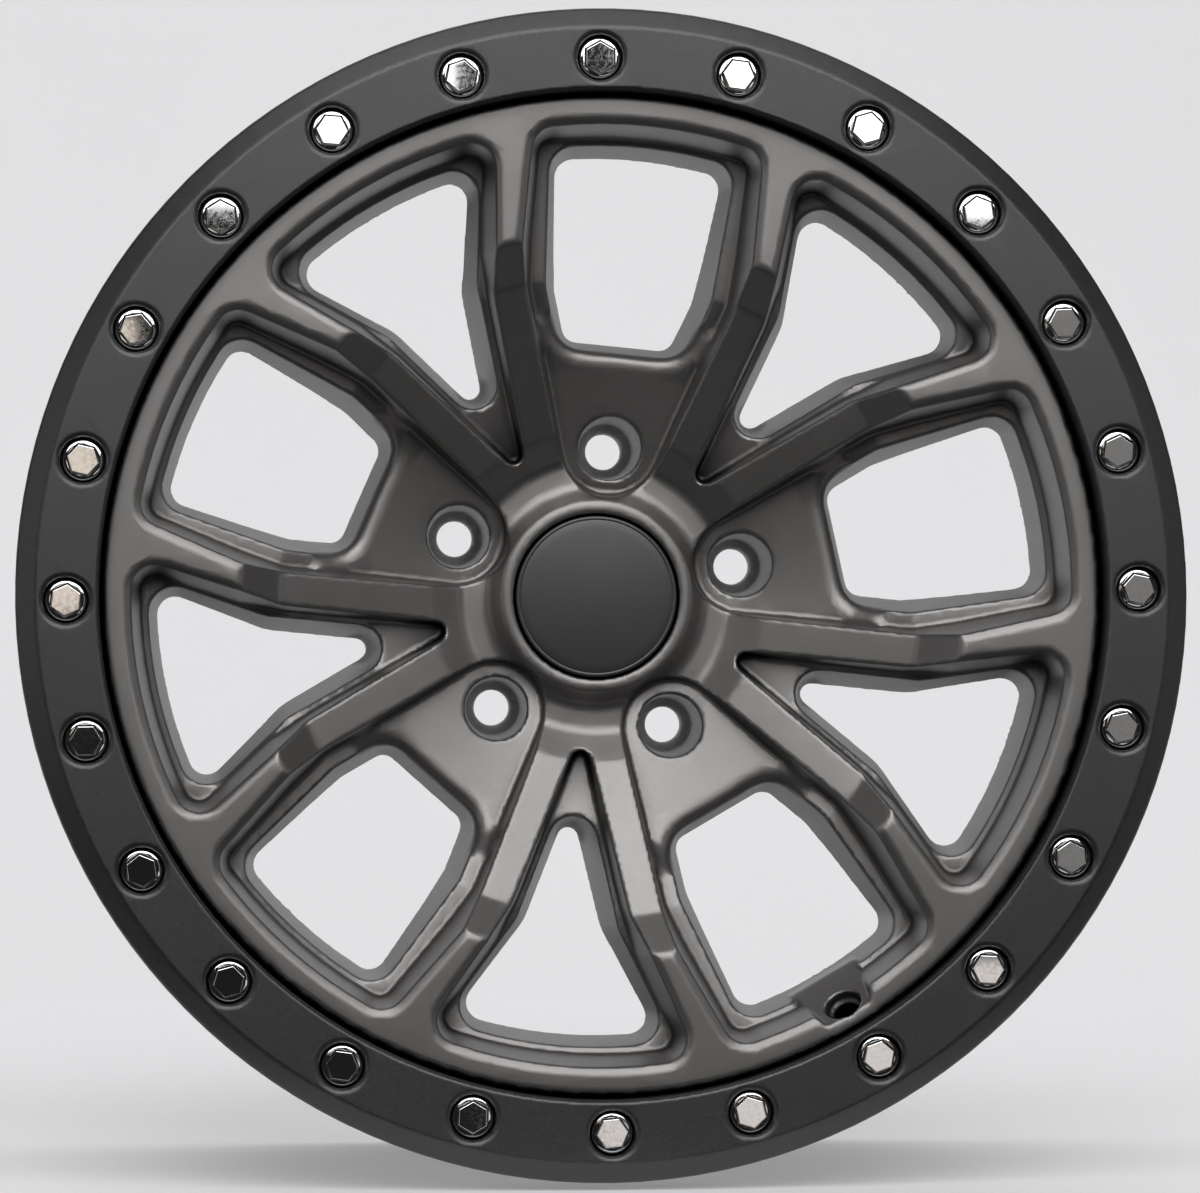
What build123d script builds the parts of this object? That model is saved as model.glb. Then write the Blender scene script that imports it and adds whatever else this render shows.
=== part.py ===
"""Beadlock wheel: one-piece alloy casting, bolted clamp ring, flanged bolts and a clip-in centre cap.

The origin is the centre of the hub mounting pad, on the spin axis. The wheel stands upright with +Z up,
and its face looks along -Y. Heights are measured outboard from the hub pad, so a height h lies at Y = -h.
"""
import os
from math import cos, radians, sin, sqrt, tan

from build123d import *

# Clocking, in degrees clockwise from the top as seen from the front
lug_count = 5
lug_turn = 5.6
bolt_count = 24
bolt_turn = -0.66
valve_sector = 2

# Casting draft in degrees, and how far a cutting tool runs past the face that it opens
draft = 10.0
cut_over = 1.0

# Rim: both bead seats share one radius, and the flanges, drop centre and face follow from it
bead_seat_r = 231.0
bead_gap = 16.0
flange_rise = 9.0
flange_t = 7.0
flange_foot = 2.0
drop_depth = 19.0
drop_front_h = 36.0
drop_rear_h = -2.0
rear_seat_w = 38.0
rear_seat_fall = 2.0
rear_flange_rise = 16.5
rear_flange_t = 12.0
rear_h = -147.0
barrel_wall = 6.5

# Hub: pad, bore, room behind the cap clips, cap bore, cap recess and collar
pad_r = 80.0
hub_bore_r = 35.75
hub_bore_depth = 28.0
clip_room_depth = 10.0
clip_room_step = 2.0
cap_bore_r = 32.0
cap_seat_h = 49.5
cap_seat_w = 3.3
collar_h = 53.0
collar_w = 5.0

# Front of the casting, from the valley round the collar out to the face ring
valley_h = 46.0
collar_slope_w = 6.2
valley_w = 11.0
spoke_root_w = 13.0
spoke_root_h = 56.0
spoke_end_r = 135.0
spoke_end_h = 81.0
facet_w = 17.0
face_h = 98.0
clamp_land = 22.0
clamp_step = 4.0

# Roundings of the casting's section
facet_round = 4.0
root_round = 4.0
valley_round = 6.0
collar_round = 2.0
face_round = 2.0
drop_round = 25.0
bead_round = 6.0
flange_round = 2.5

# Floor of the bays between the spokes, and back of the disc
bay_step = 6.0
pad_floor_r = 97.0
pad_floor_h = 53.0
ledge_in_h = 67.0
ledge_out_h = 74.4
back_hub_w = 6.0
back_hub_h = 12.0
back_mid_r = 150.0
back_mid_h = 40.0
back_land = 17.5
back_out_h = 51.0
back_rim_h = 62.0

# Lug holes
lug_pcd = 127.0
lug_hole_r = 7.75
lug_seat_r = 12.0
lug_seat_h = 16.0
lug_well_gap = 2.0
lug_seat_angle = 30.0

# Lug bay outline at face height: outer arc, side beside the tongue, bend at the spoke, end round the lug
rim_land = 9.5
step_w = 2.4
step_depth = 1.0
lug_bay_half = 51.0
lug_bay_side_end = 145.5
lug_bay_bend = (47.6, 125.5)
lug_bay_end_r = 29.8
bay_corner_r = 13.0
bend_r = 18.0

# Fork bay outline at face height, along the line between two lugs, and the round of its tip at the floor
fork_tip_centre = 69.5
fork_tip_floor_r = 1.7
fork_bend_in = (130.1, 27.5)
fork_bend_out = (146.9, 36.2)
fork_lean = 29.9

# Window outlines, just above the bay floor
ledge_w = 9.2
window_corner_r = 12.0
big_window_in = 99.4
big_window_foot = 29.4
big_window_bend = (36.9, 128.0)
big_window_half = 40.2
big_window_in_corner_r = 15.0
small_window_tip_centre = 103.5
small_window_tip_back_r = 2.9
small_window_bend = (138.0, 22.7)
small_window_half = 49.4

# Valve boss and hole
boss_reach = 12.8
boss_half = 16.5
boss_top_rise = 3.5
boss_top_half = 10.5
boss_face_drop = 5.3
boss_face_fall = 15.0
boss_nose_fall = 28.0
boss_back_fall = 46.0
boss_round = 3.0
valve_hole_r = 5.75
valve_recess_r = 8.0
valve_recess_depth = 7.0
valve_tilt = 45.0

# Clamp ring
ring_t = 14.0
ring_rise = 13.5
ring_slope_w = 8.5
ring_slope_h = 5.0
ring_lip_depth = 4.0
ring_lip_edge = 1.5
ring_pilot_gap = 1.0
ring_lip_gap = 0.6
ring_edge = 1.0

# Ring bolts
bolt_inset = 7.5
bolt_r = 4.0
bolt_engagement = 13.0
bolt_flange_r = 8.5
bolt_flange_t = 2.4
bolt_hex_flats = 13.0
bolt_head_h = 7.8
bolt_head_chamfer = 0.8
bolt_seat_depth = 9.3
bolt_well_gap = 1.1
bolt_clearance = 0.4
thread_gap = 0.05
tap_runout = 1.0

# Centre cap
cap_gap = 1.0
cap_edge_t = 3.1
cap_crown = 1.4
cap_leg_gap = 0.5
cap_leg_t = 2.2
cap_leg_length = 20.5
cap_leg_count = 8
cap_slot_w = 7.0
cap_slot_length = 16.0
cap_barb = 1.6
cap_barb_length = 6.0
cap_clip_gap = 0.3

# Radii that follow from the sizes above, from the hub outwards
lug_r = lug_pcd / 2
lug_well_r = lug_seat_r + lug_well_gap
clip_room_r = cap_bore_r + clip_room_step
cap_recess_r = cap_bore_r + cap_seat_w
collar_r = cap_recess_r + collar_w
valley_in_r = collar_r + collar_slope_w
valley_out_r = valley_in_r + valley_w
spoke_root_r = valley_out_r + spoke_root_w
back_hub_r = pad_r + back_hub_w
tongue_r = spoke_end_r + facet_w
face_r = bead_seat_r - clamp_land
bay_r = face_r - rim_land
wall_r = bay_r - step_w
window_r = bay_r - ledge_w
bolt_circle_r = bead_seat_r - bolt_inset
flange_r = bead_seat_r + flange_rise
rear_flange_r = bead_seat_r + rear_flange_rise
rear_seat_in_r = bead_seat_r - rear_seat_fall
rear_inner_r = rear_seat_in_r - barrel_wall
drop_r = bead_seat_r - drop_depth
barrel_inner_r = drop_r - barrel_wall
back_out_r = barrel_inner_r - back_land
boss_in_r = bay_r - boss_reach
boss_face_r = bay_r - boss_face_drop
boss_top_r = bay_r + boss_top_rise
boss_out_r = drop_r - barrel_wall / 2
tap_r = bolt_r + thread_gap

# Heights that follow from the sizes above
clip_top_h = hub_bore_depth + clip_room_depth
bay_floor_h = valley_h - bay_step
window_h = ledge_out_h + cut_over
clamp_h = face_h - clamp_step
flange_top_h = clamp_h - bead_gap
flange_back_h = flange_top_h - flange_t
rear_flange_h = rear_h + rear_flange_t
rear_seat_h = rear_flange_h + rear_seat_w
boss_face_h = face_h - boss_face_fall
boss_nose_h = face_h - boss_nose_fall
boss_back_h = face_h - boss_back_fall
ring_front_h = clamp_h + ring_t
tool_top_h = ring_front_h + ring_t
bolt_seat_h = ring_front_h - bolt_seat_depth
cap_leg_end_h = cap_seat_h - cap_leg_length

# Depths and turns that follow from the sizes above
sector = 360 / lug_count
bolt_pitch = 360 / bolt_count
valve_turn = lug_turn + valve_sector * sector
bay_depth = face_h - bay_floor_h + cut_over
window_depth = window_h - back_hub_h
tap_depth = bolt_engagement + tap_runout
fork_tip_round = fork_tip_floor_r + bay_depth * tan(radians(draft))
small_window_tip_round = small_window_tip_back_r + window_depth * tan(radians(draft))


def at(radius, height):
    """Point of a section through the spin axis."""
    return (radius, -height)


def clock(angle):
    """Unit vector across the face, at an angle clockwise from the top."""
    return Vector(sin(radians(angle)), 0, cos(radians(angle)))


def inboard_plane(height, angle):
    """Plane across the wheel that looks inboard, with its local y axis at the given clock angle."""
    across = clock(angle - 90)
    return Plane(origin=(0, -height, 0), x_dir=(across.X, across.Y, across.Z), z_dir=(0, 1, 0))


def tangent_point(point, centre, radius):
    """Where the line from a point touches a circle on the local y axis, on the side of the point."""
    dx = point[0]
    dy = point[1] - centre
    far = sqrt(dx * dx + dy * dy)
    along = radius * radius / far
    side = radius * sqrt(far * far - radius * radius) / far
    return ((along * dx + side * dy) / far, centre + (along * dy - side * dx) / far)


def mirrored(point):
    """The same point across the local y axis."""
    return (-point[0], point[1])


def across_first(point):
    """A point given along and across an axis, as local x across and y along."""
    return (point[1], point[0])


def arc_corner(half, radius):
    """Point of a circle about the axis at a given distance to the side."""
    return (half, sqrt(radius * radius - half * half))


def line_to_arc(start, lean, radius):
    """Where a line that leans off the local y axis meets a circle about the axis."""
    dx = sin(radians(lean))
    dy = cos(radians(lean))
    along = start[0] * dx + start[1] * dy
    reach = sqrt(along * along - start[0] ** 2 - start[1] ** 2 + radius * radius) - along
    return (start[0] + reach * dx, start[1] + reach * dy)


def nearest(point):
    """The vertex of the current sketch next to a point."""
    return vertices().sort_by_distance((point[0], point[1], 0))[0]


def round_sectors(tool):
    """A tool repeated at every lug sector."""
    return [tool.part.rotate(Axis.Y, index * sector) for index in range(lug_count)]


def round_bolts(tool):
    """A tool on the axis repeated at every ring bolt."""
    turns = [bolt_turn + index * bolt_pitch for index in range(bolt_count)]
    return [tool.part.translate(clock(turn) * bolt_circle_r) for turn in turns]


# Region above the bay floor, swept round the axis
with BuildPart() as above_floor:
    with BuildSketch(Plane.XY):
        with BuildLine():
            Polyline(
                at(cut_over, bay_floor_h),
                at(valley_in_r, bay_floor_h),
                at(pad_floor_r, pad_floor_h),
                at(spoke_end_r, ledge_in_h),
                at(wall_r, ledge_out_h),
                at(face_r, ledge_out_h),
                at(face_r, tool_top_h),
                at(cut_over, tool_top_h),
                close=True,
            )
        make_face()
    revolve(axis=Axis.Y)

# Shallow step round the bay beside one lug, in the face ring and the tongues
with BuildPart() as lug_step:
    with BuildSketch(inboard_plane(face_h, lug_turn)):
        step_corner = arc_corner(lug_bay_half, bay_r)
        step_end = (lug_bay_half, tongue_r * cos(radians(sector / 2)))
        with BuildLine():
            ThreePointArc(mirrored(step_corner), (0, bay_r), step_corner)
            Polyline(step_corner, step_end, mirrored(step_end), mirrored(step_corner))
        make_face()
        fillet(vertices().group_by(Axis.Y)[-1], radius=bay_corner_r)
    extrude(amount=step_depth)

# Bay round one lug, from the face ring to the hub
with BuildPart() as lug_bay:
    with BuildSketch(inboard_plane(face_h, lug_turn)):
        wall_half = lug_bay_half - step_w
        top_corner = arc_corner(wall_half, wall_r)
        side_end = (wall_half, lug_bay_side_end)
        root = tangent_point(lug_bay_bend, lug_r, lug_bay_end_r)
        with BuildLine():
            ThreePointArc(mirrored(top_corner), (0, wall_r), top_corner)
            Polyline(top_corner, side_end, lug_bay_bend, root)
            ThreePointArc(root, (0, lug_r - lug_bay_end_r), mirrored(root))
            Polyline(mirrored(root), mirrored(lug_bay_bend), mirrored(side_end), mirrored(top_corner))
        make_face()
        fillet(vertices().group_by(Axis.Y)[-1], radius=bay_corner_r - step_w)
        fillet([nearest(lug_bay_bend), nearest(mirrored(lug_bay_bend))], radius=bend_r)
    extrude(amount=bay_depth, taper=draft)
    add(above_floor.part, mode=Mode.INTERSECT)

# Shallow step round the bay between two spokes
with BuildPart() as fork_step:
    with BuildSketch(inboard_plane(face_h, lug_turn + sector / 2)):
        step_bend = across_first(fork_bend_out)
        step_top = line_to_arc(step_bend, fork_lean, bay_r)
        with BuildLine():
            ThreePointArc(mirrored(step_top), (0, bay_r), step_top)
            Polyline(step_top, step_bend, mirrored(step_bend), mirrored(step_top))
        make_face()
        fillet(vertices().group_by(Axis.Y)[-1], radius=bay_corner_r)
    extrude(amount=step_depth)

# Bay between the two spokes of a pair, closing to a tip near the hub
with BuildPart() as fork_bay:
    with BuildSketch(inboard_plane(face_h, lug_turn + sector / 2)):
        bend_in = across_first(fork_bend_in)
        bend_out = (fork_bend_out[1] - step_w * cos(radians(fork_lean)), fork_bend_out[0])
        fork_top = line_to_arc(bend_out, fork_lean, wall_r)
        tip = tangent_point(bend_in, fork_tip_centre, fork_tip_round)
        with BuildLine():
            ThreePointArc(mirrored(fork_top), (0, wall_r), fork_top)
            Polyline(fork_top, bend_out, bend_in, tip)
            ThreePointArc(tip, (0, fork_tip_centre - fork_tip_round), mirrored(tip))
            Polyline(mirrored(tip), mirrored(bend_in), mirrored(bend_out), mirrored(fork_top))
        make_face()
        fillet(vertices().group_by(Axis.Y)[-1], radius=bay_corner_r - step_w)
        fillet([nearest(bend_in), nearest(mirrored(bend_in))], radius=bend_r)
    extrude(amount=bay_depth, taper=draft)
    add(above_floor.part, mode=Mode.INTERSECT)

# Window outside one lug, through the disc
with BuildPart() as big_window:
    with BuildSketch(inboard_plane(window_h, lug_turn)):
        window_top = arc_corner(big_window_half, window_r)
        window_foot = (big_window_foot, big_window_in)
        with BuildLine():
            ThreePointArc(mirrored(window_top), (0, window_r), window_top)
            Polyline(window_top, big_window_bend, window_foot, mirrored(window_foot))
            Polyline(mirrored(window_foot), mirrored(big_window_bend), mirrored(window_top))
        make_face()
        fillet(vertices().group_by(Axis.Y)[-1], radius=window_corner_r)
        fillet(vertices().group_by(Axis.Y)[0], radius=big_window_in_corner_r)
        fillet([nearest(big_window_bend), nearest(mirrored(big_window_bend))], radius=bend_r)
    extrude(amount=window_depth, taper=draft)

# Window between the two spokes of a pair
with BuildPart() as small_window:
    with BuildSketch(inboard_plane(window_h, lug_turn + sector / 2)):
        small_top = arc_corner(small_window_half, window_r)
        small_bend = across_first(small_window_bend)
        small_tip = tangent_point(small_bend, small_window_tip_centre, small_window_tip_round)
        with BuildLine():
            ThreePointArc(mirrored(small_top), (0, window_r), small_top)
            Polyline(small_top, small_bend, small_tip)
            ThreePointArc(small_tip, (0, small_window_tip_centre - small_window_tip_round), mirrored(small_tip))
            Polyline(mirrored(small_tip), mirrored(small_bend), mirrored(small_top))
        make_face()
        fillet(vertices().group_by(Axis.Y)[-1], radius=window_corner_r)
        fillet([nearest(small_bend), nearest(mirrored(small_bend))], radius=bend_r)
    extrude(amount=window_depth, taper=draft)

# Stepped lug hole: well, cone seat and through hole
with BuildPart() as lug_drill:
    with BuildSketch(Plane.XY):
        seat_end_h = lug_seat_h - (lug_seat_r - lug_hole_r) / tan(radians(lug_seat_angle))
        with BuildLine():
            Polyline(
                at(0, -cut_over),
                at(lug_hole_r, -cut_over),
                at(lug_hole_r, seat_end_h),
                at(lug_seat_r, lug_seat_h),
                at(lug_well_r, pad_floor_h),
                at(0, pad_floor_h),
                close=True,
            )
        make_face()
    revolve(axis=Axis.Y)

# Tapped hole for one ring bolt
with BuildPart() as tap_drill:
    with BuildSketch(Plane.XZ.offset(clamp_h - tap_depth)):
        Circle(tap_r)
    extrude(amount=tap_depth + cut_over)

# Trapezoid of the valve boss seen from the front, as a prism
with BuildPart() as boss_prism:
    with BuildSketch(inboard_plane(face_h + cut_over, 0)):
        with BuildLine():
            Polyline(
                (-boss_half, boss_in_r - cut_over),
                (boss_half, boss_in_r - cut_over),
                (boss_top_half, boss_top_r),
                (boss_top_half, boss_out_r),
                (-boss_top_half, boss_out_r),
                (-boss_top_half, boss_top_r),
                close=True,
            )
        make_face()
    extrude(amount=boss_back_fall + cut_over)

# Valve boss: a block in the bay with a sloping front face and a rounded nose
with BuildPart() as valve_boss:
    with BuildSketch(Plane.YZ):
        boss_brow = (-boss_face_h, boss_face_r)
        boss_nose = (-boss_nose_h, boss_in_r)
        with BuildLine():
            Polyline(
                (-face_h, boss_top_r),
                boss_brow,
                boss_nose,
                (-boss_back_h, boss_in_r),
                (-boss_back_h, boss_out_r),
                (-face_h, boss_out_r),
                close=True,
            )
        make_face()
        fillet([nearest(boss_brow), nearest(boss_nose)], radius=boss_round)
    extrude(amount=boss_half, both=True)
    add(boss_prism.part, mode=Mode.INTERSECT)

# Relief that carries the sloping boss face into the face ring
with BuildPart() as boss_relief:
    with BuildSketch(Plane.YZ):
        with BuildLine():
            Polyline(
                (-face_h - cut_over, boss_top_r),
                (-face_h, boss_top_r),
                boss_brow,
                (-boss_face_h, boss_in_r),
                (-face_h - cut_over, boss_in_r),
                close=True,
            )
        make_face()
    extrude(amount=boss_half, both=True)
    add(boss_prism.part, mode=Mode.INTERSECT)

# Valve hole with its recess, from the boss face into the tyre side of the barrel
with BuildPart() as valve_drill:
    valve_point = (0, -(face_h + boss_face_h) / 2, (boss_top_r + boss_face_r) / 2)
    valve_into = (0, sin(radians(valve_tilt)), cos(radians(valve_tilt)))
    valve_plane = Plane(origin=valve_point, x_dir=(1, 0, 0), z_dir=valve_into)
    valve_reach = flange_r - boss_in_r
    with BuildSketch(valve_plane.offset(-valve_reach)):
        Circle(valve_recess_r)
    extrude(amount=valve_reach + valve_recess_depth)
    with BuildSketch(valve_plane):
        Circle(valve_hole_r)
    extrude(amount=valve_reach)

# The casting: one section swept round the axis, then its bays, windows and holes
with BuildPart() as wheel_casting:
    with BuildSketch(Plane.XY):
        with BuildLine():
            Polyline(
                at(pad_r, 0),
                at(hub_bore_r, 0),
                at(hub_bore_r, hub_bore_depth),
                at(clip_room_r, hub_bore_depth),
                at(clip_room_r, clip_top_h),
                at(cap_bore_r, clip_top_h),
                at(cap_bore_r, cap_seat_h),
                at(cap_recess_r, cap_seat_h),
                at(cap_recess_r, collar_h),
                at(collar_r, collar_h),
                at(valley_in_r, valley_h),
                at(valley_out_r, valley_h),
                at(spoke_root_r, spoke_root_h),
                at(spoke_end_r, spoke_end_h),
                at(tongue_r, face_h),
                at(face_r, face_h),
                at(face_r, clamp_h),
                at(bead_seat_r, clamp_h),
                at(bead_seat_r, flange_top_h),
                at(flange_r, flange_top_h),
                at(flange_r, flange_back_h),
                at(bead_seat_r, flange_back_h - flange_foot),
                at(drop_r, drop_front_h),
                at(drop_r, drop_rear_h),
                at(rear_seat_in_r, rear_seat_h),
                at(bead_seat_r, rear_flange_h),
                at(rear_flange_r, rear_flange_h),
                at(rear_flange_r, rear_h),
                at(rear_flange_r - rear_flange_t, rear_h),
                at(rear_inner_r, rear_flange_h),
                at(rear_inner_r, rear_seat_h),
                at(barrel_inner_r, drop_rear_h),
                at(barrel_inner_r, back_rim_h),
                at(back_out_r, back_out_h),
                at(back_mid_r, back_mid_h),
                at(back_hub_r, back_hub_h),
                close=True,
            )
        make_face()
        fillet([nearest(at(tongue_r, face_h)), nearest(at(spoke_end_r, spoke_end_h))], radius=facet_round)
        fillet(nearest(at(spoke_root_r, spoke_root_h)), radius=root_round)
        fillet([nearest(at(valley_in_r, valley_h)), nearest(at(valley_out_r, valley_h))], radius=valley_round)
        fillet(nearest(at(collar_r, collar_h)), radius=collar_round)
        fillet(nearest(at(face_r, face_h)), radius=face_round)
        fillet([nearest(at(drop_r, drop_front_h)), nearest(at(drop_r, drop_rear_h))], radius=drop_round)
        fillet(nearest(at(rear_seat_in_r, rear_seat_h)), radius=drop_round)
        fillet([nearest(at(bead_seat_r, rear_flange_h)), nearest(at(rear_flange_r, rear_h))], radius=bead_round)
        fillet(nearest(at(rear_flange_r, rear_flange_h)), radius=flange_round)
        fillet([nearest(at(barrel_inner_r, drop_rear_h)), nearest(at(rear_inner_r, rear_seat_h))], radius=drop_round)
    revolve(axis=Axis.Y)
    add(round_sectors(lug_step) + round_sectors(fork_step), mode=Mode.SUBTRACT)
    add(round_sectors(lug_bay), mode=Mode.SUBTRACT)
    add(round_sectors(fork_bay), mode=Mode.SUBTRACT)
    add(round_sectors(big_window) + round_sectors(small_window), mode=Mode.SUBTRACT)
    for index in range(lug_count):
        add(lug_drill.part.translate(clock(lug_turn + index * sector) * lug_r), mode=Mode.SUBTRACT)
    add(boss_relief.part.rotate(Axis.Y, valve_turn), mode=Mode.SUBTRACT)
    add(valve_boss.part.rotate(Axis.Y, valve_turn))
    add(valve_drill.part.rotate(Axis.Y, valve_turn), mode=Mode.SUBTRACT)
    add(round_bolts(tap_drill), mode=Mode.SUBTRACT)

# Stepped hole for one ring bolt
with BuildPart() as ring_drill:
    with BuildSketch(Plane.XZ.offset(clamp_h - cut_over)):
        Circle(bolt_r + bolt_clearance)
    extrude(amount=ring_t)
    with BuildSketch(Plane.XZ.offset(bolt_seat_h)):
        Circle(bolt_flange_r + bolt_well_gap)
    extrude(amount=bolt_seat_depth + cut_over)

# Clamp ring: chamfered section with a lip that hangs over the bead, and a stepped hole for each bolt
with BuildPart() as beadlock_ring:
    with BuildSketch(Plane.XY):
        ring_r = bead_seat_r + ring_rise
        ring_in_r = face_r + ring_pilot_gap
        lip_in_r = bead_seat_r + ring_lip_gap
        lip_h = clamp_h - ring_lip_depth
        with BuildLine():
            Polyline(
                at(ring_in_r, clamp_h),
                at(ring_in_r, ring_front_h - ring_edge),
                at(ring_in_r + ring_edge, ring_front_h),
                at(ring_r - ring_slope_w, ring_front_h),
                at(ring_r, ring_front_h - ring_slope_h),
                at(ring_r, clamp_h),
                at(ring_r - ring_lip_edge, lip_h),
                at(lip_in_r + ring_lip_edge, lip_h),
                at(lip_in_r, clamp_h),
                close=True,
            )
        make_face()
    revolve(axis=Axis.Y)
    add(round_bolts(ring_drill), mode=Mode.SUBTRACT)

# One flanged hex bolt on the axis, seated at the height of the ring's counterbores
with BuildPart() as ring_bolt:
    with BuildSketch(Plane.XZ.offset(clamp_h - bolt_engagement)):
        Circle(bolt_r)
    extrude(amount=bolt_seat_h - clamp_h + bolt_engagement)
    with BuildSketch(Plane.XZ.offset(bolt_seat_h)):
        RegularPolygon(bolt_hex_flats / 2, 6, major_radius=False)
    extrude(amount=bolt_head_h)
    chamfer(faces().sort_by(Axis.Y)[0].edges(), length=bolt_head_chamfer)
    with BuildSketch(Plane.XZ.offset(bolt_seat_h)):
        Circle(bolt_flange_r)
    extrude(amount=bolt_flange_t)

with BuildPart() as ring_bolts:
    add(round_bolts(ring_bolt))

# Centre cap: a shallow crowned disc with barbed clip legs
with BuildPart() as centre_cap:
    with BuildSketch(Plane.XY):
        cap_r = cap_recess_r - cap_gap
        cap_edge_h = cap_seat_h + cap_edge_t
        leg_r = cap_bore_r - cap_leg_gap
        barb_top_h = clip_top_h - cap_clip_gap
        crown_top = at(0, cap_edge_h + cap_crown)
        crown_edge = at(cap_r, cap_edge_h)
        with BuildLine():
            TangentArc(crown_top, crown_edge, tangent=(1, 0))
            Polyline(
                crown_edge,
                at(cap_r, cap_seat_h),
                at(leg_r, cap_seat_h),
                at(leg_r, barb_top_h),
                at(leg_r + cap_barb, barb_top_h),
                at(leg_r, barb_top_h - cap_barb_length),
                at(leg_r, cap_leg_end_h),
                at(leg_r - cap_leg_t, cap_leg_end_h),
                at(leg_r - cap_leg_t, cap_seat_h),
                at(0, cap_seat_h),
                crown_top,
            )
        make_face()
    revolve(axis=Axis.Y)
    with BuildSketch(Plane.XZ.offset(cap_leg_end_h - cut_over)):
        with PolarLocations(cap_bore_r, cap_leg_count):
            Rectangle(cap_slot_length, cap_slot_w)
    extrude(amount=cap_leg_length - cap_leg_t, mode=Mode.SUBTRACT)

os.makedirs("parts", exist_ok=True)
wheel_casting.part.label = "wheel_casting"
export_step(wheel_casting.part, "parts/wheel_casting.step")
beadlock_ring.part.label = "beadlock_ring"
export_step(beadlock_ring.part, "parts/beadlock_ring.step")
ring_bolts.part.label = "ring_bolts"
export_step(ring_bolts.part, "parts/ring_bolts.step")
centre_cap.part.label = "centre_cap"
export_step(centre_cap.part, "parts/centre_cap.step")
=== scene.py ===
"""Beadlock wheel: finishes for the casting, clamp ring and cap, new chrome bolts, and a pale studio stage.

The wheel stands upright with its face towards -Y. The origin is the centre of the hub mounting pad.
"""
from math import cos, pi, radians, sin, sqrt

import bmesh
import bpy
import numpy as np
from mathutils import Matrix, Vector


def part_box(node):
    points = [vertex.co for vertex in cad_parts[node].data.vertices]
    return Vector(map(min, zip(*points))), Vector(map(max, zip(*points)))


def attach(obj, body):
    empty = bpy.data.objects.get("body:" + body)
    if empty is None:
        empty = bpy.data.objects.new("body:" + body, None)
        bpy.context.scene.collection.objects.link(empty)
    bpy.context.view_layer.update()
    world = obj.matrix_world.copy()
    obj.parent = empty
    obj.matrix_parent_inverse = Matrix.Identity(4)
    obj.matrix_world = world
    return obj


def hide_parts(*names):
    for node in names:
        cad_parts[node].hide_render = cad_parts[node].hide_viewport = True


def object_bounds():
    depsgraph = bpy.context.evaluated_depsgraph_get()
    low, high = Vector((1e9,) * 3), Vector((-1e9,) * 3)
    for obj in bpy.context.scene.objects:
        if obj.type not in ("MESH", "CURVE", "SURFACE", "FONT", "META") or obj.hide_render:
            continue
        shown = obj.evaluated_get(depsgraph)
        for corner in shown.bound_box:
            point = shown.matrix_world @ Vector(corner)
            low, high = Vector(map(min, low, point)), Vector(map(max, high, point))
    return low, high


bl_info = {
    "name": "Beadlock wheel",
    "version": (1, 0, 0),
    "blender": (4, 5, 0),
    "location": "View3D > Sidebar > Wheel",
    "description": "Finishes a beadlock wheel and sets its studio stage",
    "category": "Object",
}

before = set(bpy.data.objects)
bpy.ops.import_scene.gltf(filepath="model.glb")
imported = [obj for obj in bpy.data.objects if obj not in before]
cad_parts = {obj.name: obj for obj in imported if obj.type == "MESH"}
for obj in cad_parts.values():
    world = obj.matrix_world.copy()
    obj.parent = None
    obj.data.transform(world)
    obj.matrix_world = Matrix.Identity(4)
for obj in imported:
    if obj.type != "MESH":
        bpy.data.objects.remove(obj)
CAD_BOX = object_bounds()
RING_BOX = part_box("beadlock_ring")
BOLT_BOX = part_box("ring_bolts")
CAP_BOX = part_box("centre_cap")

# Points closer than this are one point
WELD = 1e-6
# Rings across the cap's crown and over the domed flange of a bolt
CROWN_STEPS = 10
DOME_STEPS = 6
# Steps round the fold of the paper
FOLD_STEPS = 16
# How the lug pad's lip bends outwards past its straight part, for each metre, and how it climbs there
LIP_BEND = 73
LIP_RISE = 0.46
# Points of the barrel lie farther than this from the axle, and a whole row of them has at least so many
BARREL_RADIUS = 0.195
BARREL_ROW = 800
# The least share of a point's normal that looks along its radius, and the deepest facet that is turned round
BARREL_FACING = 0.7
FACET_DEPTH = 0.0004
# How much large faces lead in the shading of smooth pieces
NORMAL_WEIGHT = 60

# Noise in the finishes, in cells for each metre: slow drifts of tone, and fine flake, peel, marks and grain
PAINT_DRIFT = 22
PAINT_FLAKE = 1800
COAT_DRIFT = 40
COAT_PEEL = 900
PLATING_MARKS = 600
CAP_DRIFT = 60
CAP_GRAIN = 2200
PAPER_DRIFT = 3
# The second tone of a finish, as a share of its first
COAT_TONE = 1.35
PLATING_TONE = 0.9
CAP_TONE = 1.3
PAPER_TONE = 0.985
# How far the roughness strays below and above its mean, and the plating's range
PAINT_STRAY = (0.04, 0.05)
COAT_STRAY = (0.05, 0.06)
CAP_STRAY = (0.04, 0.06)
PLATING_ROUGHNESS = (0.03, 0.09)
PAPER_ROUGHNESS = 0.7
# Depth of the fine relief, and how strongly it shows
PAINT_RELIEF = (0.00004, 0.12)
COAT_RELIEF = (0.00006, 0.18)
CAP_RELIEF = (0.00003, 0.15)
# Share of metal in the paint, and the specular levels of the black pieces and the paper
PAINT_METAL = 0.9
BLACK_SPECULAR = 1.0
PAPER_SPECULAR = 0.15
# Open air over the paint where its painted shade is darkest and where the paint has its full tone, and the
# darkest share of that painted shade
PAINTED_SHADE_CLOSED = 0.35
PAINTED_SHADE_OPEN = 0.8
PAINTED_SHADE_DARKEST = 0.04

# The photograph's frame, in pixels
FRAME_WIDTH = 1200
FRAME_HEIGHT = 1193


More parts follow.
